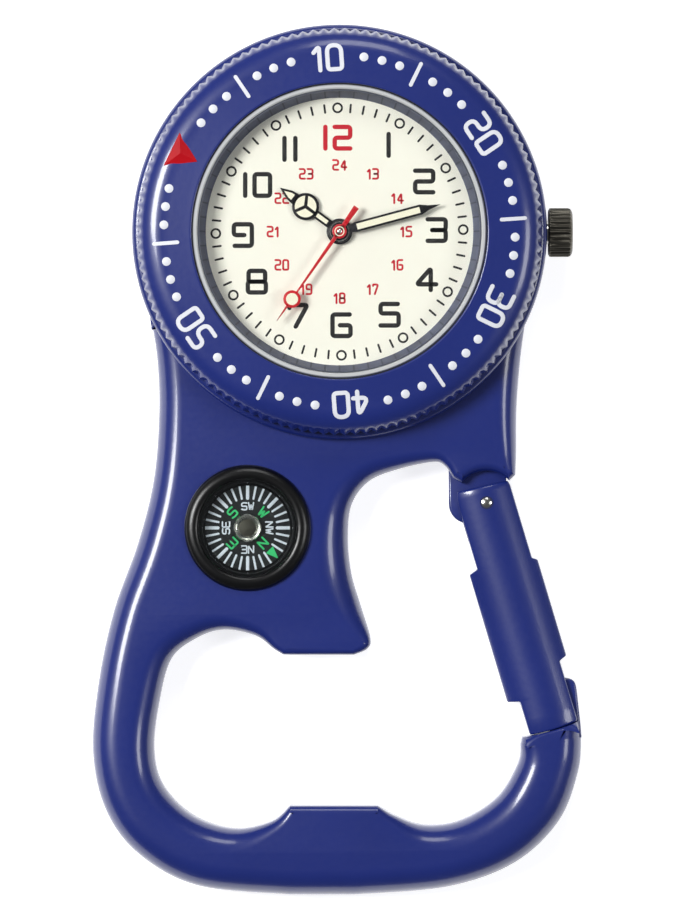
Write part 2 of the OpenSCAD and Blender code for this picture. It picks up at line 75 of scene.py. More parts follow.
def finish(name, colour, rough, metal=0.0, grain=0.4 * mm, vary=0.08, bump=0.02, stretch=(1, 1, 1),
           **more):
    """A surface whose colour, roughness and height drift by noise; grain is its real size."""
    mat = bpy.data.materials.new(name)
    mat.use_nodes = True
    mat.node_tree.nodes.clear()
    place = add(mat, "TexCoord")
    turn = add(mat, "Mapping", {"Scale": stretch}, {"Vector": place.outputs["Object"]})
    fine = add(mat, "TexNoise", {"Scale": 1 / grain, "Detail": 3.0},
               {"Vector": turn.outputs["Vector"]})
    wide = add(mat, "TexNoise", {"Scale": 0.06 / grain, "Detail": 4.0},
               {"Vector": turn.outputs["Vector"]})
    dark = tuple(c * (1 - vary) for c in linear(colour)[:3]) + (1.0,)
    light = tuple(min(c * (1 + vary), 1) for c in linear(colour)[:3]) + (1.0,)
    shade = add(mat, "ValToRGB", links={"Fac": wide.outputs["Fac"]})
    shade.color_ramp.elements[0].position = 0.3
    shade.color_ramp.elements[0].color = dark
    shade.color_ramp.elements[1].position = 0.7
    shade.color_ramp.elements[1].color = light
    gloss = add(mat, "MapRange", {"To Min": rough * 0.85, "To Max": min(rough * 1.15, 1)},
                {"Value": fine.outputs["Fac"]})
    height = add(mat, "Bump", {"Strength": 1.0, "Distance": grain * bump},
                 {"Height": fine.outputs["Fac"]})
    skin = add(mat, "BsdfPrincipled", {"Metallic": metal, **more},
               {"Base Color": shade.outputs["Color"], "Roughness": gloss.outputs["Result"],
                "Normal": height.outputs["Normal"]})
    add(mat, "OutputMaterial", links={"Surface": skin.outputs["BSDF"]})
    return mat


def give(piece, mat):
    """The material takes every slot of the piece."""
    piece.data.materials.clear()
    piece.data.materials.append(mat)


def build(name, points, faces, mat, body, sharp=35, stands_for=()):
    """A mesh object from arrays of points and faces, smooth except at edges over sharp degrees."""
    mesh = bpy.data.meshes.new(name)
    mesh.from_pydata(np.asarray(points).reshape(-1, 3).tolist(), [], faces)
    mesh.validate()
    mesh.shade_smooth()
    mesh.set_sharp_from_angle(angle=math.radians(sharp))
    piece = bpy.data.objects.new(name, mesh)
    bpy.context.scene.collection.objects.link(piece)
    give(piece, mat)
    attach(piece, body)
    if stands_for:
        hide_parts(*stands_for)
    return piece


def grid_faces(rows, cols, round_cols=True, round_rows=False, start=0):
    """Quads between the points of a grid, row by row; either way may close on itself."""
    i, k = np.meshgrid(np.arange(rows if round_rows else rows - 1),
                       np.arange(cols if round_cols else cols - 1), indexing="ij")
    up, right = (i + 1) % rows, (k + 1) % cols
    quads = np.stack([i * cols + k, i * cols + right, up * cols + right, up * cols + k], -1)
    return (quads.reshape(-1, 4) + start).tolist()


def smooth_line(points, per=8):
    """Catmull-Rom line through the points, of any number of columns, ends included."""
    p = np.asarray(points, float)
    a, b = np.vstack([p[:1], p[:-2]]), p[:-1]
    c, d = p[1:], np.vstack([p[2:], p[-1:]])
    t = (np.arange(per) / per)[None, :, None]
    a, b, c, d = (v[:, None, :] for v in (a, b, c, d))
    line = 0.5 * (2 * b + (c - a) * t + (2 * a - 5 * b + 4 * c - d) * t ** 2
                  + (3 * b - a - 3 * c + d) * t ** 3)
    return np.vstack([line.reshape(-1, p.shape[1]), p[-1:]])


def arc(centre, r, start, end, count):
    """Points on a circle from one angle to another, in degrees."""
    t = np.radians(np.linspace(start, end, count))
    return np.stack([centre[0] + r * np.cos(t), centre[1] + r * np.sin(t)], -1)


def with_width(points, w):
    """The points with a third column: how wide the edge is rounded there."""
    return np.column_stack([points, np.broadcast_to(w, len(points))])


def rounded_plate(outline, low, high, back=0.9, steps=9):
    """Rings of a plate with rounded edges. outline is x, y and the rounding's width, walked
    counter-clockwise. Each ring is the outline moved in along its normal: by w(1 - cos a) as the
    height goes up by h sin a, with a smaller quarter round at the back."""
    xy, w = outline[:, :2], outline[:, 2:3]
    along = np.roll(xy, -1, 0) - np.roll(xy, 1, 0)
    along /= np.linalg.norm(along, axis=1, keepdims=True)
    inward = np.stack([-along[:, 1], along[:, 0]], -1)
    h = np.minimum(w * 1.05, (high - low) * 0.5)
    wb = np.minimum(w, back)
    rings = []
    for a in np.linspace(np.pi / 2, 0, 5):
        rings.append(np.hstack([xy + inward * wb * (1 - np.cos(a)), low + wb * (1 - np.sin(a))]))
    for a in np.linspace(0, np.pi / 2, steps):
        rings.append(np.hstack([xy + inward * w * (1 - np.cos(a)), high - h * (1 - np.sin(a))]))
    return np.array(rings)


frame_low, frame_high = 0.0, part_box("gate")[1].z / mm + 0.25
pin_low, pin_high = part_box("gate_pin")
pin = np.array([(pin_low.x + pin_high.x) / 2, (pin_low.y + pin_high.y) / 2]) / mm
gate_lean = 16.65
nose_r = 23.75
hinge_r = 3.2
neck_r = 19.9

# The casting's edge: places along each stretch in millimetres, and how wide it is rounded there.
left_side = [(-19, -8.2, 1.6), (-18.3, -12.5, 2.2), (-18.1, -18, 2.4), (-18.65, -24.8, 2.5),
             (-20.25, -31.2, 2.6), (-22.55, -37.6, 2.6), (-24.1, -44.6, 2.6), (-24.75, -52, 2.6),
             (-23.4, -58, 2.6), (-20.05, -62.4, 2.6), (-14.2, -65.5, 2.6), (-5, -66.4, 2.6)]
right_side = [(1.5, -66.4, 2.6), (10.85, -65.6, 2.6), (17.55, -63.2, 2.6), (22, -59, 2.6),
              (23.95, -54, 2.5), (24.25, -50.4, 2.3)]
inside_right = [(18.15, -51.3, 1.6), (17.9, -53.2, 2.3), (15.85, -56.6, 2.5),
                (12.2, -58.9, 2.5), (8.5, -59.4, 2.3), (5.5, -58.4, 1.2), (3.85, -57.4, 0.7)]
inside_left = [(-4.95, -57.4, 0.7), (-6.8, -59, 1.2), (-10.6, -59.75, 2.3),
               (-14.75, -58.4, 2.5), (-17.7, -55.4, 2.5), (-18.6, -51.8, 2.5),
               (-18.1, -47.2, 2.4), (-16.9, -42.8, 2.2), (-14.4, -40.7, 1.8),
               (-11.6, -39.8, 1.5), (-8.4, -40.4, 1.2), (-6.6, -41.7, 0.8), (-5.6, -42.3, 0.6)]
hook = [(1.45, -42.3, 0.6), (2.8, -41.7, 0.8), (3.1, -40.6, 1.2), (2.2, -37.6, 2.6),
        (1.2, -34.2, 3.2), (0.85, -30.5, 3), (1.25, -27.2, 2.4), (3, -24.9, 2),
        (6, -23.7, 1.6), (9.4, -23, 1.2), (10.6, -23.4, 0.9), (11.4, -24.6, 0.8)]
hinge_side = [(17.6, -24.3, 0.8), (17.7, -22, 1.6), (17.75, -17.5, 2), (18.15, -12.5, 2),
              (18.7, -8.4, 1.2)]
nose_width = 0.25 + 1.25 * np.abs(np.linspace(-1, 1, 21)) ** 3
outline = np.vstack([
    smooth_line(left_side), smooth_line(right_side),
    with_width(arc(pin, nose_r, -67.3, -81.3, 21), nose_width),
    smooth_line(inside_right), smooth_line(inside_left), smooth_line(hook),
    with_width(arc(pin, hinge_r, 142, 44, 14), 0.8), smooth_line(hinge_side),
    with_width(arc((0, 0), neck_r, -25, -155, 40), 0.2)])

# Sprayed satin paint gives an even deep blue with soft broad highlights from its clear coat.
paint = finish("cobalt_satin_paint_on_zinc", "#162878", 0.36, grain=0.5 * mm, vary=0.05,
               bump=0.012, **{"Coat Weight": 0.7, "Coat Roughness": 0.13})

compass_low, compass_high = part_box("compass_ring")
compass = np.array([compass_low.x + compass_high.x, compass_low.y + compass_high.y]) / 2 / mm
compass_r = (compass_high.x - compass_low.x) / 2 / mm
pocket_r = 6.0
pocket_floor = 1.0


def cap(loops, index, up):
    """Triangles that close a flat outline, whose later loops are holes in it, facing up or down."""
    flat = np.vstack(loops)
    triangles = np.array(tessellate_polygon([loop.tolist() for loop in loops]))
    a, b, c = (flat[triangles[:, i]] for i in range(3))
    facing = np.cross(b[:, :2] - a[:, :2], c[:, :2] - a[:, :2]) > 0
    triangles[facing != up] = triangles[facing != up][:, ::-1]
    return np.asarray(index)[triangles].tolist()


pocket_sides = 72
rings = rounded_plate(outline, frame_low, frame_high)
count = len(outline)
pocket = np.array([np.column_stack([arc(compass, pocket_r, 0, 355, pocket_sides),
                                    np.full(pocket_sides, z)]) for z in (frame_high, pocket_floor)])
top = (len(rings) - 1) * count
hole = top + count
all_points = np.vstack([rings.reshape(-1, 3), pocket.reshape(-1, 3)])
faces = grid_faces(len(rings), count)
faces += cap([rings[0]], np.arange(count), False)
faces += cap([rings[-1], pocket[0]], np.arange(top, hole + pocket_sides), True)
faces += grid_faces(2, pocket_sides, start=hole)
faces.append(list(range(hole + pocket_sides, hole + 2 * pocket_sides)))


def turned(profile, sides=240, start=0):
    """A profile of radius and height turned about the watch's axis."""
    t = np.linspace(0, 2 * np.pi, sides, endpoint=False)
    r, z = np.asarray(profile, float)[:, 0:1], np.asarray(profile, float)[:, 1:2]
    points = np.stack([r * np.cos(t), r * np.sin(t), z + 0 * t], -1)
    return points.reshape(-1, 3), grid_faces(len(profile), sides, start=start)


def corner(r, z, size, start, end, steps=6):
    """A quarter round in a profile: its centre, its radius and its two angles."""
    return [tuple(p) for p in arc((r, z), size, start, end, steps)]


# The head's half section: the rounded rim, the neck that the bezel turns on, the seats of the
# glass, the ring and the dial, the movement's bore and the recess of the back.
head_r, head_h = 20.75, 7.0
neck_wall, neck_top = 15.35, 10
glass_seat_r, glass_seat_z = 14.62, 8.85
sight_r, ring_seat_z = 14.15, 7.3
dial_seat_r, dial_seat_z = 14.8, 6.4
bore_r = 16.5
back_r, back_depth = 18.25, 1.3
head_profile = (corner(head_r - 0.9, 0.9, 0.9, -90, 0)
                + corner(head_r - 0.7, head_h - 0.7, 0.7, 0, 90)
                + [(neck_wall, head_h), (neck_wall, neck_top - 0.1), (neck_wall - 0.1, neck_top),
                   (glass_seat_r, neck_top), (glass_seat_r, glass_seat_z),
                   (sight_r, glass_seat_z), (sight_r, ring_seat_z), (dial_seat_r, ring_seat_z),
                   (dial_seat_r, dial_seat_z), (bore_r, dial_seat_z), (bore_r, back_depth),
                   (back_r, back_depth), (back_r, 0)])
head_points, head_faces = turned(head_profile + [head_profile[0]], start=len(all_points))
faces += head_faces
all_points = np.vstack([all_points, head_points])


def on_gate(xy):
    """From the gate's own place, origin on its pin and gate along -Y, to the frame's."""
    t = math.radians(gate_lean)
    turn = np.array([[math.cos(t), math.sin(t)], [-math.sin(t), math.cos(t)]])
    return np.asarray(xy, float)[:, :2] @ turn + pin


# The two tongues stand in the middle of the casting's thickness: a cheeked eye that goes up
# into the gate's fork, and the catch that the gate's lower end shuts on.
tongue_low, tongue_high = 1.5, 4.1
cheek = pin + [-1.77, -0.13]
tongue = np.vstack([arc(cheek, 2, 180, 290, 12), arc(pin, 2, -70, 0, 8),
                    [pin + [2, 3.8], cheek + [-2, 3.6]]])
catch = on_gate(np.vstack([[(-0.5, -25.3), (2.4, -25.3)],
                           smooth_line([(2.65, -24.2), (3.05, -22), (3.35, -20.2), (3.2, -19.5),
                                        (2.6, -19.1)], 4),
                           arc((0, 0), 19.2, -83.5, -91.5, 8)]))
for shape in (tongue, catch):
    ledge = rounded_plate(with_width(shape, 0.25), tongue_low, tongue_high, 0.2, 5)
    start, n = len(all_points), len(shape)
    all_points = np.vstack([all_points, ledge.reshape(-1, 3)])
    faces += grid_faces(len(ledge), n, start=start)
    faces += cap([ledge[0]], np.arange(n) + start, False)
    faces += cap([ledge[-1]], np.arange(n) + start + (len(ledge) - 1) * n, True)
build("carabiner_casting", all_points * mm, faces, paint, "case", 40,
      ("carabiner_frame",))


# ---------- Gate ----------
# The gate is a second casting in the same paint: a crowned bar with a low flange either side
# for the thumb. It is forked at both ends, turns on a peened pin and shuts on the catch.

gate_low, gate_high = 0.25, frame_high - 0.25
crown_bend = 4.8
gate_edge = 0.3
# The quarter round at the back of each wall: in from the wall, up from the back.
gate_back = np.array([(1, 0.6), (0.88, 0.18), (0.6, 0)])


def gate_section(left, right, shrink):
    """Across the gate: straight walls, a crown that is part of a circle, tangent round corners
    between them, and a flat back. left and right are its reach each side of the middle."""
    high, low = gate_high - shrink, gate_low + shrink
    sides = []
    for sign, reach in ((-1, left - shrink), (1, right - shrink)):
        tilt = math.asin((reach - gate_edge) / (crown_bend - gate_edge))
        hub = (crown_bend - gate_edge) * np.array([math.sin(tilt), math.cos(tilt)])
        b = np.linspace(0, np.pi / 2 - tilt, 5)[:, None]
        bend = hub + gate_edge * np.hstack([np.cos(b), np.sin(b)])
        lean = np.linspace(tilt, 0, 9)[1:, None]
        face = crown_bend * np.hstack([np.sin(lean), np.cos(lean)])
        half = np.vstack([bend, face]) + [0, high - crown_bend]
        under = np.column_stack([reach - 0.6 + 0.6 * gate_back[::-1, 0], low + gate_back[::-1, 1]])
        sides.append(np.vstack([under, half]) * [sign, 1])
    return np.vstack([sides[0], sides[1][-2::-1]])


# Places down the gate: distance below the pin, reach to the left and to the right.
gate_rows = [(1, 2.7, 2.8), (-1, 2.8, 2.8), (-6.1, 2.8, 2.8), (-6.2, 2.9, 2.8), (-6.45, 3.6, 2.8),
             (-6.55, 3.7, 2.8), (-6.65, 3.7, 2.88), (-6.9, 3.7, 3.24), (-7, 3.7, 3.3),
             (-12, 3.7, 3.3), (-16.9, 3.7, 3.3), (-17, 3.7, 3.22), (-17.25, 3.7, 2.6),
             (-17.35, 3.7, 2.5), (-19.7, 3.7, 2.5), (-19.8, 3.62, 2.5), (-20.05, 2.6, 2.5),
             (-20.15, 2.5, 2.5), (-22, 2.5, 2.5)]
# The gate's lower end is an arc about the pin that clears the nose of the casting.
gate_end = nose_r - 0.07
quarter = np.radians([0, 25, 50, 90])
gate_rings = []
for a in quarter:
    row = gate_section(2.55, 2.75, 0.25 * (1 - math.sin(a)))
    gate_rings.append(np.column_stack([row[:, 0], 1.7 - 0.25 * (1 - math.cos(a)) - 0.07 * row[:, 0],
                                       row[:, 1]]))
for y, left, right in gate_rows:
    row = gate_section(left, right, 0)
    gate_rings.append(np.column_stack([row[:, 0], y + 0 * row[:, 0], row[:, 1]]))
for a in quarter[::-1]:
    row = gate_section(2.5, 2.5, 0.2 * (1 - math.sin(a)))
    r = gate_end - 0.2 * (1 - math.cos(a))
    gate_rings.append(np.column_stack([row[:, 0], -np.sqrt(r * r - row[:, 0] ** 2), row[:, 1]]))
gate_rings = np.array(gate_rings)
n = gate_rings.shape[1]
gate_faces = [f[::-1] for f in grid_faces(len(gate_rings), n)]
gate_faces += [list(range(n)), [(len(gate_rings) - 1) * n + i for i in range(n)][::-1]]
gate_points = np.column_stack([on_gate(gate_rings.reshape(-1, 3)), gate_rings[..., 2].ravel()])
gate = build("gate_casting", gate_points * mm, gate_faces, paint, "gate_arm", 40,
             ("gate",))


def flat_prism(xy, low, high):
    """A straight prism on a flat outline walked counter-clockwise."""
    xy = np.asarray(xy, float)
    n = len(xy)
    points = np.vstack([np.column_stack([xy, np.full(n, z)]) for z in (low, high)])
    return points, grid_faces(2, n) + [list(range(n))[::-1], [n + i for i in range(n)]]


def cut(piece, points, faces):
    """Takes a closed shape out of the piece, and keeps the result as the piece's mesh."""
    mesh = bpy.data.meshes.new("cutter")
    mesh.from_pydata((points * mm).tolist(), [], faces)
    tool = bpy.data.objects.new("cutter", mesh)
    bpy.context.scene.collection.objects.link(tool)
    step = piece.modifiers.new("cut", "BOOLEAN")
    step.object, step.solver = tool, "EXACT"
    graph = bpy.context.evaluated_depsgraph_get()
    piece.data = bpy.data.meshes.new_from_object(piece.evaluated_get(graph))
    piece.modifiers.clear()
    bpy.data.objects.remove(tool)


slot_gap = 0.05
cut(gate, *flat_prism(on_gate([(-5, -3.3), (5, -3.3), (5, 5), (-5, 5)]),
                      tongue_low - slot_gap, tongue_high + slot_gap))
side_slot = np.vstack([[(-0.7, -25), (6, -25), (6, -18.2)], arc((0, 0), 19, -76, -92.1, 8)])
cut(gate, *flat_prism(on_gate(side_slot), tongue_low - slot_gap, tongue_high + slot_gap))

# Turned steel is bright with a faint grain. The darker paint round the pin is painted shade of the
# well it sits in.
steel = finish("turned_stainless_steel", "#c9c8c2", 0.22, metal=1.0, grain=0.15 * mm, vary=0.06)
pin_well_shade_paint = finish("pin_well_painted_shade", "#161d4a", 0.5, grain=0.2 * mm)


def disc(centre, r, z, crown=0.0, rings=5, sides=48):
    """A round head: height falls with the square of the distance from its middle."""
    s = np.linspace(0.02, 1, rings)[:, None]
    t = np.linspace(0, 2 * np.pi, sides, endpoint=False)[None, :]
    points = np.stack([centre[0] + r * s * np.cos(t), centre[1] + r * s * np.sin(t),
                       z + crown * (1 - s ** 2) + 0 * t], -1)
    return points.reshape(-1, 3), [f[::-1] for f in grid_faces(rings, sides)] + [
        list(range(sides))]


# The flat dark disc round the pin head is painted shade of the pin's well.
well_points, well_faces = disc(pin, 0.66, gate_high + 0.01)
build("pin_well", well_points * mm, well_faces, pin_well_shade_paint, "gate_arm")
pin_points, pin_faces = disc(pin, 0.5, gate_high + 0.02, 0.12)
build("pin_head", pin_points * mm, pin_faces, steel, "gate_arm")


# ---------- Turning bezel ----------
# The bezel is a cast ring in the same paint with a scalloped grip. Its marks are raised in
# the casting and filled white; a red moulded triangle stands in for sixty.

bezel_low, bezel_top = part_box("bezel")[0].z / mm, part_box("bezel")[1].z / mm
scallops = 120
scallop_depth = 0.28
flat_r, fall_r = 17.6, 20.35
fall_foot, fall_height = 7.6, 2.35
flat_rise, flat_width = 0.25, 2.6


def bezel_height(r):
    """Top of the bezel at a radius: a quarter ellipse outside flat_r, and inside it a nearly flat
    land that rises evenly towards the glass."""
    out = np.clip((np.asarray(r, float) - flat_r) / (fall_r - flat_r), 0, 1)
    land = np.clip((flat_r - r) / flat_width, 0, 1)
    return fall_foot + fall_height * np.sqrt(1 - out ** 2) + flat_rise * land


inner = [(14.75, 10.02), (14.75, 10.15), (14.82, 10.22), (14.95, 10.21)]
across = np.linspace(15.15, flat_r, 5)
over = flat_r + (20.32 - flat_r) * np.sin(np.linspace(0.05, np.pi / 2 - 0.02, 14))
profile = np.array(inner + [(r, float(bezel_height(r))) for r in [*across, *over]]
                   + [(20.33, 7.3), (20.1, bezel_low), (15.4, bezel_low), (15.4, 10.02)])
sides = scallops * 8
turn = np.linspace(0, 2 * np.pi, sides, endpoint=False)
r = profile[:, 0:1] + 0 * turn
grip = np.clip((r - 19.8) / 0.3, 0, 1)
r = r - scallop_depth * grip * np.abs(scallops * turn / np.pi % 2 - 1)
points = np.stack([r * np.cos(turn), r * np.sin(turn), profile[:, 1:2] + 0 * turn], -1)
bezel_faces = [f[::-1] for f in grid_faces(len(profile), sides, round_rows=True)]
build("bezel_casting", points * mm, bezel_faces, paint, "turning_bezel", 50,
      ("bezel",))

# Each figure is one or more strokes on a square of side one. Key i is the 1 that has a flag.
figures = {
    "0": ([(0, 0), (1, 0), (1, 1), (0, 1), (0, 0)],),
    "1": ([(0.5, 0), (0.5, 1)],),
    "i": ([(0.15, 0.74), (0.55, 1), (0.55, 0)],),
    "2": ([(0, 1), (1, 1), (1, 0.5), (0, 0.5), (0, 0), (1, 0)],),
    "3": ([(0, 1), (1, 1), (1, 0.5), (0.25, 0.5)], [(0.3, 0.5), (1, 0.5), (1, 0), (0, 0)]),
    "4": ([(0.78, 0), (0.78, 1), (0, 0.26), (1.08, 0.26)],),
    "5": ([(0.95, 1), (0, 1), (0, 0.56), (1, 0.56), (1, 0), (0, 0)],),
    "6": ([(0.95, 1), (0, 1), (0, 0), (1, 0), (1, 0.5), (0.42, 0.5)],),
    "7": ([(0, 0.86), (0, 1), (1, 1), (0.35, 0)],),
    "8": ([(0, 0.5), (0, 0), (1, 0), (1, 0.5), (0, 0.5)],
          [(0.04, 0.5), (0.04, 1), (0.96, 1), (0.96, 0.5), (0.04, 0.5)]),
    "9": ([(0.05, 0), (1, 0), (1, 1), (0, 1), (0, 0.5), (0.58, 0.5)],),
    "N": ([(0, 0), (0, 1), (1, 0), (1, 1)],),
    "E": ([(1, 1), (0, 1), (0, 0), (1, 0)], [(0, 0.5), (0.85, 0.5)]),
    "S": ([(1, 0.95), (0.5, 1), (0, 0.9), (0, 0.5), (1, 0.5), (1, 0.05), (0.4, 0), (0, 0.08)],),
    "W": ([(0, 1), (0.26, 0), (0.5, 0.75), (0.74, 0), (1, 1)],),
}


def soften(path, radius):
    """The path with each corner replaced by a quadratic curve that starts a radius before it."""
    path = np.asarray(path, float)
    closed = np.allclose(path[0], path[-1])
    if closed:
        middle = (path[0] + path[1]) / 2
        path = np.vstack([middle, path[1:], middle])
    line = [path[0]]
    t = np.linspace(0, 1, 7)[:, None]
    for before, here, after in zip(path[:-2], path[1:-1], path[2:]):
        back, forth = before - here, after - here
        size = min(radius, 0.49 * np.linalg.norm(back), 0.49 * np.linalg.norm(forth))
        a = here + back / np.linalg.norm(back) * size
        b = here + forth / np.linalg.norm(forth) * size
        line.extend((1 - t) ** 2 * a + 2 * t * (1 - t) * here + t ** 2 * b)
    line.append(path[-1])
    return np.array(line), closed


def stroke(path, closed, width, height, base, bulge=0.0):
    """A flat-topped line along a path: four points across it, with its open ends made round by
    shrinking the width with the square root of one minus the square of the distance past."""
    if closed:
        line, half = path[:-1], np.full(len(path) - 1, width / 2)
        along = np.roll(line, -1, 0) - np.roll(line, 1, 0)
    else:
        first, last = path[1] - path[0], path[-1] - path[-2]
        first, last = first / np.linalg.norm(first), last / np.linalg.norm(last)
        past = np.array([0.98, 0.8, 0.5, 0])[:, None] * width / 2
        line = np.vstack([path[0] - first * past, path[1:-1], path[-1] + last * past[::-1]])
        shrink = np.sqrt(1 - (past[:, 0] / (width / 2)) ** 2)
        half = width / 2 * np.concatenate([shrink, np.ones(len(path) - 2), shrink[::-1]])
        along = np.gradient(line, axis=0)
    along /= np.maximum(np.linalg.norm(along, axis=1, keepdims=True), 1e-12)
    side = np.stack([-along[:, 1], along[:, 0]], -1)
    lift = [0, 1, 1 + bulge, 1 + bulge, 1, 0]
    spread = [-1, -0.86, -0.4, 0.4, 0.86, 1]
    rows = []
    for s, up in zip(spread, lift):
        xy = line + side * half[:, None] * s
        rows.append(np.column_stack([xy, base(xy) + height * up]))
    faces = grid_faces(len(rows), len(line), round_cols=closed)
    return np.array(rows).reshape(-1, 3), [f[::-1] for f in faces]


class Print:
    """Gathers strokes and fills that share a colour, to become one mesh."""

    def __init__(self, height, base, bulge=0.0):
        """height is the ink's thickness, and base gives the height of the surface under it."""
        self.height, self.base, self.bulge = height, base, bulge
        self.points, self.faces = np.zeros((0, 3)), []

    def line(self, path, width, corner=0.0, closed=None):
        """A stroke along the path, its corners rounded over the length corner."""
        path, ring = soften(path, corner) if corner else (np.asarray(path, float), False)
        ring = ring if closed is None else closed
        points, faces = stroke(path, ring, width, self.height, self.base, self.bulge)
        self.add(points, faces)

    def add(self, points, faces):
        """Appends a mesh, its faces counted on from the points that are already here."""
        start = len(self.points)
        self.points = np.vstack([self.points, points])
        self.faces += [[i + start for i in f] for f in faces]

    def fill(self, xy):
        """One flat face inside the outline, on top of the surface."""
        xy = np.asarray(xy, float)
        z = self.base(xy) + self.height
        self.add(np.column_stack([xy, z]), [list(range(len(xy)))])

    def write(self, text, centre, high, wide, width, corner, turn=0.0, gap=0.35):
        """Writes text centred on a point, its top turned clockwise by turn degrees."""
        t = math.radians(-turn)
        spin = np.array([[math.cos(t), math.sin(t)], [-math.sin(t), math.cos(t)]])
        step = [wide * {"1": 0.2, "i": 0.55}.get(c, 1) for c in text]
        x = -(sum(step) + gap * (len(text) - 1) * wide) / 2
        for c, w in zip(text, step):
            for path in figures[c]:
                xy = np.asarray(path, float) * [wide, high - width]
                xy -= [wide * {"1": 0.4, "i": 0.1}.get(c, 0), (high - width) / 2]
                xy = (xy + [x, 0]) @ spin + centre
                self.line(xy, width, corner)
            x += w + gap * wide

    def make(self, name, mat, body, sharp=30):
        """Builds the piece from all that was gathered."""
        return build(name, self.points * mm, self.faces, mat, body, sharp)


def clock(r, turn):
    """A place at a radius, its angle counted clockwise from twelve."""
    return np.array([r * math.sin(math.radians(turn)), r * math.cos(math.radians(turn))])


bezel_turn = -64.0
figure_r, dot_r = 17.3, 17.5
marks = Print(0.07, lambda xy: bezel_height(np.hypot(xy[:, 0], xy[:, 1])) - 0.02)
for n in range(6):
    at = bezel_turn + 60 * n
    if n:
        marks.write(f"{n}0".replace("1", "i"), clock(figure_r, at), 2.86, 1.4, 0.46, 0.72, at, 0.46)
    for step in (12, 18, 24, 36, 42, 48):
        dot_points, dot_faces = disc(clock(dot_r, at + step), 0.44, 0.0, 0.09, 5, 24)
        dot_points[:, 2] += bezel_height(np.hypot(dot_points[:, 0], dot_points[:, 1])) + 0.01
        marks.add(dot_points, dot_faces)
    marks.line([clock(16.2, at + 30), clock(18.5, at + 30)], 0.42)
# Filling enamel is a matt, faintly blue white with a slightly uneven skin.
white = finish("white_filling_enamel", "#e9ebf2", 0.45, grain=0.25 * mm, vary=0.04, bump=0.05)
marks.make("bezel_marks", white, "turning_bezel")

# Moulded acrylic: a clear deep red whose facets each take the light at their own level.
red_moulded = finish("red_moulded_acrylic", "#bb0d1a", 0.3, grain=0.3 * mm, vary=0.1,
                      **{"Specular IOR Level": 0.3})
pointer_half, pointer_base, pointer_tip = 5.6, 18.7, 15.75
base_l = clock(pointer_base, bezel_turn - pointer_half)
base_r = clock(pointer_base, bezel_turn + pointer_half)
tip = clock(pointer_tip, bezel_turn)
middle = (base_l + base_r + tip) / 3
z_low, z_high = 9.3, bezel_top - 0.02
corners = np.array([base_l, tip, base_r])
corner_heights = [9.8, 10.17, 9.8]
tri_points = np.vstack([np.column_stack([corners, np.full(3, z_low)]),
                        np.column_stack([corners, corner_heights]), [[*middle, z_high]]])
tri_faces = grid_faces(2, 3) + [[3, 4, 6], [4, 5, 6], [5, 3, 6], [2, 1, 0]]
build("bezel_pointer", tri_points * mm, tri_faces, red_moulded, "turning_bezel", 15,
      ("bezel_triangle",))


# ---------- Dial ----------
# The dial is brass sheet, lacquered ivory and pad printed: a ring of hour circles and minute
# strokes, big squared hours and small red afternoon hours.

dial_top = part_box("dial")[1].z / mm
# Lacquer on brass sheet is a warm ivory, nearly matt and very even.
ivory = finish("ivory_dial_lacquer", "#fffdec", 0.6, grain=0.12 * mm, vary=0.012, bump=0.02)
give(nodes["dial"], ivory)
# Pad-printing ink is thin, dense and matt, so it barely shines under the glass.
ink = finish("black_pad_print", "#0f0f0e", 0.6, grain=0.1 * mm, **{"Specular IOR Level": 0.25})
red_ink = finish("red_pad_print", "#c81a2c", 0.6, grain=0.1 * mm,
                 **{"Specular IOR Level": 0.25})


def flat_at(z):
    """A base that is the same height everywhere."""
    return lambda xy: np.full(len(xy), z)


print_thick = 0.012
black = Print(print_thick, flat_at(dial_top))
red = Print(print_thick, flat_at(dial_top))
dial_turn = -0.9
for minute in range(60):
    at = minute * 6 + dial_turn
    if minute % 5:
        black.line([clock(11.95, at), clock(12.7, at)], 0.21)
    else:
        black.line(arc(clock(12.35, at), 0.44, 0, 360, 25), 0.2, closed=True)
# The squared hours: x and y of each in millimetres.
hours = {
    "1": (4.9, 8.65), "2": (8.45, 5.0), "3": (9.7, 0.15), "4": (8.6, -4.75), "5": (5.0, -8.3),
    "6": (0.2, -9.35), "7": (-4.1, -8.4), "8": (-8.25, -5.0), "9": (-9.65, -0.35),
    "10": (-8.25, 4.65), "11": (-4.95, 8.25), "12": (-0.25, 9.37)}
for text, spot in hours.items():
    layer = red if text == "12" else black
    layer.write(text, np.array(spot), 2.6, 1.8 if len(text) == 1 else 1.55, 0.45, 0.3, 0, 0.5)
for hour in range(13, 25):
    digits = str(hour).replace("1", "i")
    red.write(digits, clock(6.65, (hour - 12) * 30), 1.16, 0.5, 0.2, 0.2, 0, 0.55)
black.make("dial_black_print", ink, "case")
red.make("dial_red_print", red_ink, "case")

# The moulded ring is slate grey and mottled; a thin dark strip at every minute is painted shade of
# its ribs.
slate = finish("slate_moulded_ring", "#3f4660", 0.42, grain=0.12 * mm, vary=0.3)
give(nodes["chapter_ring"], slate)
ring_inner, ring_foot, ring_slope = 13.35, 7.35, 2.32
# One dark strip at each minute, just proud of the ring: painted shade of its ribs.
rib_shade_print = Print(0.02, lambda xy: ring_foot
              + (np.hypot(xy[:, 0], xy[:, 1]) - ring_inner) * ring_slope)
for minute in range(60):
    rib_shade_print.line([clock(13.42, minute * 6), clock(13.98, minute * 6)], 0.16)
rib_painted_shade = finish("slate_rib_painted_shade", "#262c42", 0.5, grain=0.1 * mm)
rib_shade_print.make("chapter_ring_rib_painted_shade", rib_painted_shade, "case")


# ---------- Hands ----------
# The hands are stamped brass, lacquered black with cream lume in their openings. The second
# hand is red with a pale lume ring.

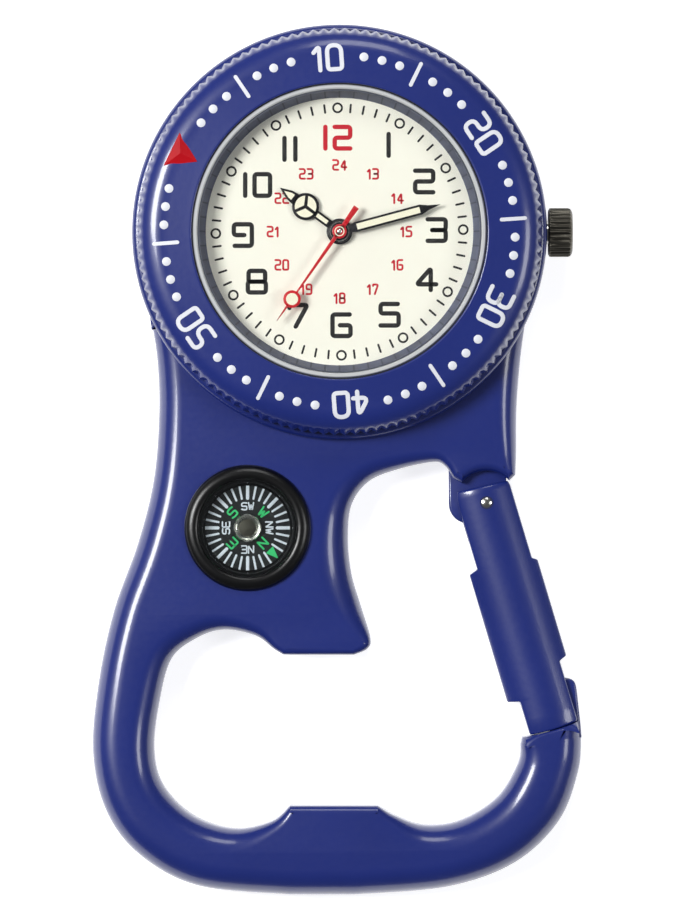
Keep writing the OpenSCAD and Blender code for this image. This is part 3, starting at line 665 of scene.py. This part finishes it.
# Lacquered hands are glossy; lume is a chalky cream with hardly any highlight.
black_lacquer = finish("black_hand_lacquer", "#101014", 0.25, grain=0.2 * mm)
lume = finish("cream_lume_paint", "#fbf8dc", 0.7, grain=0.1 * mm, vary=0.03, bump=0.05)
red_lacquer = finish("red_hand_lacquer", "#cc1622", 0.28, grain=0.2 * mm)
hour_turn, minute_turn, second_turn = 306.3, 75.0, 215.0
hour_z, minute_z, second_z = (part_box(n + "_hand")[1].z / mm for n in ("hour", "minute", "second"))


def along_hand(turn):
    """Turns points drawn along +Y to the hand's own angle."""
    t = math.radians(turn)
    spin = np.array([[math.cos(t), -math.sin(t)], [math.sin(t), math.cos(t)]])
    return lambda xy: np.asarray(xy, float) @ spin


def outline_hand(name, turn, z, thick, shapes, mat, body, stands_for):
    """A stamped hand: each outline is a plate, its top edge rounded by 0.3 of its thickness."""
    points, faces = np.zeros((0, 3)), []
    for shape in shapes:
        rings = rounded_plate(with_width(along_hand(turn)(shape), thick * 0.3), z - thick, z, 0.02, 4)
        n, start = rings.shape[1], len(points)
        top_start = start + (len(rings) - 1) * n
        faces += grid_faces(len(rings), n, start=start)
        faces += [[start + i for i in range(n)][::-1], [top_start + i for i in range(n)]]
        points = np.vstack([points, rings.reshape(-1, 3)])
    return build(name, points * mm, faces, mat, body, 40, stands_for)


# Each shape is drawn pointing to twelve: the boss, the arm, the ring and the tip.
hour_ring, second_ring = 4.2, 8.25
hour_shapes = [arc((0, 0), 1.3, 0, 352.5, 48),
               np.array([(-0.42, 0.6), (0.42, 0.6), (0.42, 3.2), (-0.42, 3.2)]),
               arc((0, hour_ring), 1.36, 0, 352.5, 48),
               np.array([(-0.62, 5.2), (0.62, 5.2), (0.5, 6.2), (0, 7.4), (-0.5, 6.2)])]
outline_hand("hour_hand_black", hour_turn, hour_z, 0.2, hour_shapes, black_lacquer, "hours",
             ("hour_hand",))
minute_shapes = [arc((0, 0), 1.12, 0, 352.5, 48),
                 np.array([(-0.3, 0.8), (0.3, 0.8), (0.52, 1.7), (0.52, 8.4), (0.24, 9.2),
                           (0, 10.46), (-0.24, 9.2), (-0.52, 8.4), (-0.52, 1.7)])]
outline_hand("minute_hand_black", minute_turn, minute_z, 0.2, minute_shapes, black_lacquer,
             "minutes", ("minute_hand",))
second_shapes = [arc((0, 0), 0.72, 0, 350, 36),
                 np.array([(-0.3, -2.95), (0.3, -2.95), (0.2, 0), (0.09, 7.45), (-0.09, 7.45),
                           (-0.2, 0)]),
                 arc((0, second_ring), 0.88, 0, 350, 36),
                 np.array([(-0.12, 9), (0.12, 9), (0.03, 10.9), (-0.03, 10.9)])]
outline_hand("second_hand_red", second_turn, second_z, 0.15, second_shapes, red_lacquer,
             "seconds", ("second_hand",))

hour_lume = Print(0.015, flat_at(hour_z))
place = along_hand(hour_turn)
for third in range(3):
    sector = np.vstack([arc((0, hour_ring), 1.08, 120 * third - 82, 120 * third + 22, 14),
                        arc((0, hour_ring), 0.2, 120 * third - 30, 120 * third - 30, 1)])
    hour_lume.fill(place(sector))
hour_lume.fill(place([(-0.2, 1.5), (0.2, 1.5), (0.2, 2.8), (-0.2, 2.8)]))
hour_lume.fill(place([(-0.32, 5.75), (0.32, 5.75), (0.28, 6.15), (0, 6.85), (-0.28, 6.15)]))
hour_lume.make("hour_hand_lume", lume, "hours")
minute_lume = Print(0.015, flat_at(minute_z))
minute_lume.fill(along_hand(minute_turn)([(-0.3, 1.8), (0.3, 1.8), (0.3, 8.3), (-0.3, 8.3)]))
minute_lume.make("minute_hand_lume", lume, "minutes")
second_lume = Print(0.01, flat_at(second_z))
second_lume.fill(along_hand(second_turn)(arc((0, second_ring), 0.6, 0, 345, 24)))
second_lume.make("second_hand_lume", lume, "seconds")
hub_ring = Print(0.02, flat_at(minute_z))
hub_ring.line(arc((0, 0), 0.95, 0, 360, 37), 0.1, closed=True)
hub_ring.make("minute_hand_hub_ring", steel, "minutes")
# The pale ring on the second hand's red hub is a painted highlight, drawn in the lume's cream.
cap_highlight_ring = Print(0.02, flat_at(second_z))
cap_highlight_ring.line(arc((0, 0), 0.45, 0, 360, 31), 0.1, closed=True)
cap_highlight_ring.make("second_hand_cap_highlight_ring", lume, "seconds")
pipe_points, pipe_faces = disc((0, 0), 0.24, second_z + 0.02, 0.08)
build("second_hand_pipe", pipe_points * mm, pipe_faces, steel, "seconds")


# ---------- Glass and its rim ----------
# A flat mineral glass sits in a nylon gasket inside a thin polished steel rim.

def clear(name, colour, rough=0.0):
    """A clear solid. Shadow and diffuse rays pass straight through, so that what lies under it
    is lit once, as through real glass."""
    mat = bpy.data.materials.new(name)
    mat.use_nodes = True
    mat.node_tree.nodes.clear()
    place = add(mat, "TexCoord")
    speck = add(mat, "TexNoise", {"Scale": 1 / (3 * mm), "Detail": 2.0},
                {"Vector": place.outputs["Object"]})
    wave = add(mat, "Bump", {"Strength": 1.0, "Distance": 0.0005 * mm},
               {"Height": speck.outputs["Fac"]})
    glass = add(mat, "BsdfPrincipled", {"Base Color": linear(colour), "Roughness": rough,
                                        "IOR": 1.5, "Transmission Weight": 1.0},
                {"Normal": wave.outputs["Normal"]})
    open_air = add(mat, "BsdfTransparent", {"Color": linear(colour)})
    light = add(mat, "LightPath")
    soft = add(mat, "Math", links={0: light.outputs["Is Shadow Ray"],
                                   1: light.outputs["Is Diffuse Ray"]}, operation="MAXIMUM")
    both = add(mat, "MixShader", links={"Fac": soft.outputs[0]})
    mat.node_tree.links.new(glass.outputs["BSDF"], both.inputs[1])
    mat.node_tree.links.new(open_air.outputs["BSDF"], both.inputs[2])
    add(mat, "OutputMaterial", links={"Surface": both.outputs["Shader"]})
    return mat


# Polished glass shows only sharp reflections; the nylon gasket is a smoky grey edge round it.
give(nodes["crystal"], clear("mineral_glass", "#ffffff"))
give(nodes["crystal_gasket"], finish("smoke_grey_nylon", "#4a4e5a", 0.5, grain=0.3 * mm))
# A silver flash makes the rim pale, with blurred reflections.
polished = finish("silver_flashed_steel_rim", "#f0f2f2", 0.25, metal=0.4, grain=0.2 * mm,
                  vary=0.03)
rim_outer, rim_foot, rim_top = 14.6, 9.2, 10.12
rim_points, rim_faces = turned([(sight_r, rim_foot), (sight_r, rim_top - 0.12), (14.28, rim_top),
                                (14.5, rim_top), (rim_outer, rim_top - 0.12),
                                (rim_outer, rim_foot), (sight_r, rim_foot)])
build("polished_rim", rim_points * mm, [f[::-1] for f in rim_faces], polished, "case",
      40, ("crystal_rim",))
# A thin matt black line just outside the rim is painted shadow of the gap between the rim and the
# bezel.
gap_shadow_black = finish("painted_gap_shadow_black", "#0c0d12", 0.6, grain=0.2 * mm)
gap_shadow_line = Print(0.03, flat_at(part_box("carabiner_frame")[1].z / mm))
gap_shadow_line.line(arc((0, 0), 14.69, 0, 360, 181), 0.13, closed=True)
gap_shadow_line.make("rim_gap_painted_shadow", gap_shadow_black, "case")


# ---------- Crown ----------
# The crown is steel, fluted for grip and plated black nickel.

crown_low, crown_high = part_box("crown")
crown_z = (crown_high.z + crown_low.z) / 2 / mm
x0, x1 = crown_low.x / mm, crown_high.x / mm
flutes, sides = 28, 28 * 10
turn = np.linspace(0, 2 * np.pi, sides, endpoint=False)[None, :]
shape = np.array([(x0, 1.3, 0), (x0, 2.2, 0), (x0 + 0.12, 2.42, 0), (x0 + 0.3, 2.45, 1),
                  (x1 - 0.45, 2.45, 1), (x1 - 0.25, 2.38, 0.4), (x1 - 0.1, 2.2, 0),
                  (x1, 1.9, 0), (x1, 0.05, 0)])
r = shape[:, 1:2] - 0.2 * shape[:, 2:3] * (0.5 - 0.5 * np.cos(flutes * turn))
points = np.stack([shape[:, 0:1] + 0 * turn, r * np.sin(turn), crown_z + r * np.cos(turn)], -1)
crown_faces = grid_faces(len(shape), sides)
crown_faces.append([(len(shape) - 1) * sides + i for i in range(sides)])
# Black nickel over turned steel is a warm dark grey mirror, a little blurred.
black_nickel = finish("black_nickel_plate", "#5c5951", 0.34, metal=1.0, grain=0.2 * mm, vary=0.15)
build("fluted_crown", points * mm, [f[::-1] for f in crown_faces], black_nickel, "stem_turn",
      40, ("crown",))


# ---------- Compass ----------
# A button compass pressed into the frame: a gloss black ring and cup, a clear dome, and a
# printed card that turns on a needle point under a nickel cap.

# Glossy moulded ABS is near black with pale highlights.
gloss_black = finish("gloss_black_abs", "#070708", 0.3, grain=0.3 * mm, vary=0.1)
ring_z = frame_high
crest_r, crest_z = 5.35, ring_z + 0.88
t = np.radians(np.linspace(0, 84, 12))[:, None]
ring_fall = np.hstack([crest_r + (compass_r - 0.02 - crest_r) * np.sin(t),
                       ring_z + 0.02 + (crest_z - ring_z - 0.02) * np.cos(t)])
ring_profile = [(4.9, ring_z - 0.3), (4.9, ring_z + 0.62), (4.98, ring_z + 0.74),
                (5.12, ring_z + 0.83)] + ring_fall.tolist() + [(compass_r - 0.02, ring_z + 0.02)]
sides = 160
turn = np.linspace(0, 2 * np.pi, sides, endpoint=False)[None, :]
profile = np.array(ring_profile + [ring_profile[0]])
points = np.stack([compass[0] + profile[:, 0:1] * np.cos(turn),
                   compass[1] + profile[:, 0:1] * np.sin(turn), profile[:, 1:2] + 0 * turn], -1)
build("compass_bezel", points * mm, [f[::-1] for f in grid_faces(len(profile), sides)],
      gloss_black, "case", 40, ("compass_ring",))
give(nodes["compass_cup"], finish("moulded_black_abs", "#111113", 0.35, grain=0.3 * mm))
give(nodes["compass_dome"], clear("clear_acrylic_dome", "#f7fbfb"))
give(nodes["compass_card"], finish("black_card_print", "#0e0f10", 0.6, grain=0.15 * mm,
                                     **{"Specular IOR Level": 0.2}))
# Satin nickel is a warm pale metal; the jewel in it is a darker steel.
nickel = finish("satin_nickel", "#bdbbb0", 0.25, metal=1.0, grain=0.15 * mm)
cap_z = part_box("compass_cap")[1].z / mm
hub = np.array([(1.4, cap_z - 0.3), (1.4, cap_z + 0.02), (1.32, cap_z + 0.14), (1.18, cap_z + 0.14),
                (0.95, cap_z - 0.02), (0.86, cap_z - 0.12), (0.84, cap_z - 0.12)])
turn = np.linspace(0, 2 * np.pi, 64, endpoint=False)[None, :]
points = np.stack([compass[0] + hub[:, 0:1] * np.cos(turn), compass[1] + hub[:, 0:1] * np.sin(turn),
                   hub[:, 1:2] + 0 * turn], -1)
build("compass_hub", points * mm, grid_faces(len(hub), 64), nickel, "compass_needle",
      40, ("compass_cap",))
jewel_points, jewel_faces = disc(compass, 0.85, cap_z - 0.12, 0.05)
jewel = finish("blued_jewel_steel", "#5a564c", 0.3, metal=1.0, grain=0.1 * mm)
build("compass_jewel", jewel_points * mm, jewel_faces, jewel, "compass_needle")
card_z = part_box("compass_card")[1].z / mm
north = 135.0
compass_points = 32
ticks = Print(print_thick, flat_at(card_z))
green = Print(0.014, flat_at(card_z))
for n in range(1, compass_points):
    at = north + n * 360 / compass_points
    ticks.line([compass + clock(2.95, at), compass + clock(4.2, at)], 0.32 if n % 4 == 0 else 0.21)
head = [compass + clock(4.35, north), compass + clock(3.1, north - 9),
        compass + clock(3.1, north + 9)]
green.fill(head)
for n, text in enumerate(("N", "NE", "E", "SE", "S", "SW", "W", "NW")):
    at = north + 45 * n
    layer, high, wide = (green, 1.1, 0.7) if n % 2 == 0 else (ticks, 0.85, 0.5)
    layer.write(text, compass + clock(2.15, at), high, wide, 0.18 if n % 2 == 0 else 0.14, 0.1, at)
# The green print is a bright, flat ink.
green_ink = finish("green_card_print", "#2fcf74", 0.5, grain=0.1 * mm)
ticks.make("compass_card_marks", white, "compass_needle")
green.make("compass_card_green", green_ink, "compass_needle")


# ---------- Back and inner pieces ----------
# The back is a stamped steel lid with a brushed finish. The movement behind it is plated
# brass, steel and moulded plastic, and only shows when the watch is opened.

# Brushing leaves fine lines from side to side that stretch the highlights.
turned_steel = finish("ring_brushed_steel_lid", "#bfc1c3", 0.32, metal=1.0, grain=0.25 * mm,
                      stretch=(1, 6, 1))
give(nodes["case_back"], turned_steel)
inner_finishes = {
    "brass": finish("gilt_machined_brass", "#c8a95c", 0.3, metal=1.0),
    "steel": steel,
    "spring_steel": finish("bright_spring_steel", "#a9acb0", 0.25, metal=1.0),
    "soft_iron": finish("stamped_soft_iron", "#84878c", 0.4, metal=1.0),
    "holder_plastic": finish("white_moulded_acetal", "#e3e3db", 0.5),
    "copper_wire": finish("enamelled_copper_wire", "#a3542c", 0.35, metal=1.0, grain=0.08 * mm,
                          bump=0.3, stretch=(1, 0.02, 0.02)),
    "board": finish("green_solder_resist", "#28683a", 0.4),
    "black_plastic": gloss_black,
    "black_rubber": finish("black_nitrile_rubber", "#1b1b1b", 0.7),
    "polished_steel": polished,
    "black_lacquer": black_lacquer,
    "red_lacquer": red_lacquer,
    "blue_paint": paint,
    "red_plastic": red_moulded,
    "gunmetal": black_nickel,
}
slot_of = {p["node"]: p["material_slot"] for p in frame["record"]["subparts"]}
dressed = ("dial", "chapter_ring", "crystal", "crystal_gasket", "compass_cup", "compass_dome",
           "compass_card", "compass_cap", "case_back")
for name, piece in nodes.items():
    if name not in dressed and slot_of[name] in inner_finishes:
        give(piece, inner_finishes[slot_of[name]])


# ---------- Floor, lights and camera ----------
# A plain white sweep under the watch, one big soft lamp high on the left, a weaker one on the
# right, and a long lens straight above.

floor_mesh = bpy.data.meshes.new("floor")
half, floor_z = 1.5, -0.0003
floor_mesh.from_pydata([(-half, -half, floor_z), (half, -half, floor_z), (half, half, floor_z),
                        (-half, half, floor_z)], [], [(0, 1, 2, 3)])
floor = bpy.data.objects.new("floor", floor_mesh)
bpy.context.scene.collection.objects.link(floor)
# The paper glows only for rays that see the background, so it stays white and keeps its shadow.
paper_glow = 0.78
paper = bpy.data.materials.new("white_sweep")
paper.use_nodes = True
paper.node_tree.nodes.clear()
seen = add(paper, "LightPath")
seen_or_glossy = add(paper, "Math", links={0: seen.outputs["Is Camera Ray"],
                                           1: seen.outputs["Is Glossy Ray"]},
                     operation="MAXIMUM")
background_ray = add(paper, "Math", links={0: seen_or_glossy.outputs[0],
                                           1: seen.outputs["Is Transmission Ray"]},
                     operation="MAXIMUM")
level = add(paper, "Math", {1: paper_glow}, {0: background_ray.outputs[0]}, operation="MULTIPLY")
glow = add(paper, "Emission", {"Color": (1, 1, 1, 1)}, {"Strength": level.outputs[0]})
matt = add(paper, "BsdfDiffuse", {"Color": (0.85, 0.85, 0.85, 1)})
lit_and_glowing = add(paper, "AddShader")
paper.node_tree.links.new(glow.outputs[0], lit_and_glowing.inputs[0])
paper.node_tree.links.new(matt.outputs[0], lit_and_glowing.inputs[1])
add(paper, "OutputMaterial", links={"Surface": lit_and_glowing.outputs[0]})
give(floor, paper)

world = bpy.data.worlds.new("studio")
bpy.context.scene.world = world
world.use_nodes = True
world.node_tree.nodes["Background"].inputs["Color"].default_value = (0.9, 0.93, 1.0, 1)
world.node_tree.nodes["Background"].inputs["Strength"].default_value = 0.12


watch_middle = np.array([0, -0.022, 0])


def lamp(name, place, size, power):
    """A square soft lamp that faces the middle of the watch."""
    data = bpy.data.lights.new(name, "AREA")
    data.shape, data.size, data.energy = "SQUARE", size, power
    light = bpy.data.objects.new(name, data)
    bpy.context.scene.collection.objects.link(light)
    light.location = place
    aim = watch_middle - np.array(place)
    light.rotation_mode = "QUATERNION"
    light.rotation_quaternion = Vector(aim).to_track_quat("-Z", "Y")


lamp("key_softbox", (-0.4, 0.1, 0.55), 0.22, 3.95)
lamp("fill_softbox", (0.5, -0.05, 0.5), 0.2, 0.97)
lamp("back_softbox", (0.05, 0.55, 0.5), 0.25, 0.97)

view_height = 92 * mm
view_centre = (-0.25 * mm, -22.8 * mm, 6 * mm)
distance = 0.9
camera_data = bpy.data.cameras.new("camera")
sensor = 36
camera_data.sensor_width = sensor
camera_data.lens = sensor * distance / view_height
camera = bpy.data.objects.new("camera", camera_data)
bpy.context.scene.collection.objects.link(camera)
camera.location = (view_centre[0], view_centre[1], distance + view_centre[2])
bpy.context.scene.camera = camera
bpy.context.scene.view_settings.view_transform = "Standard"
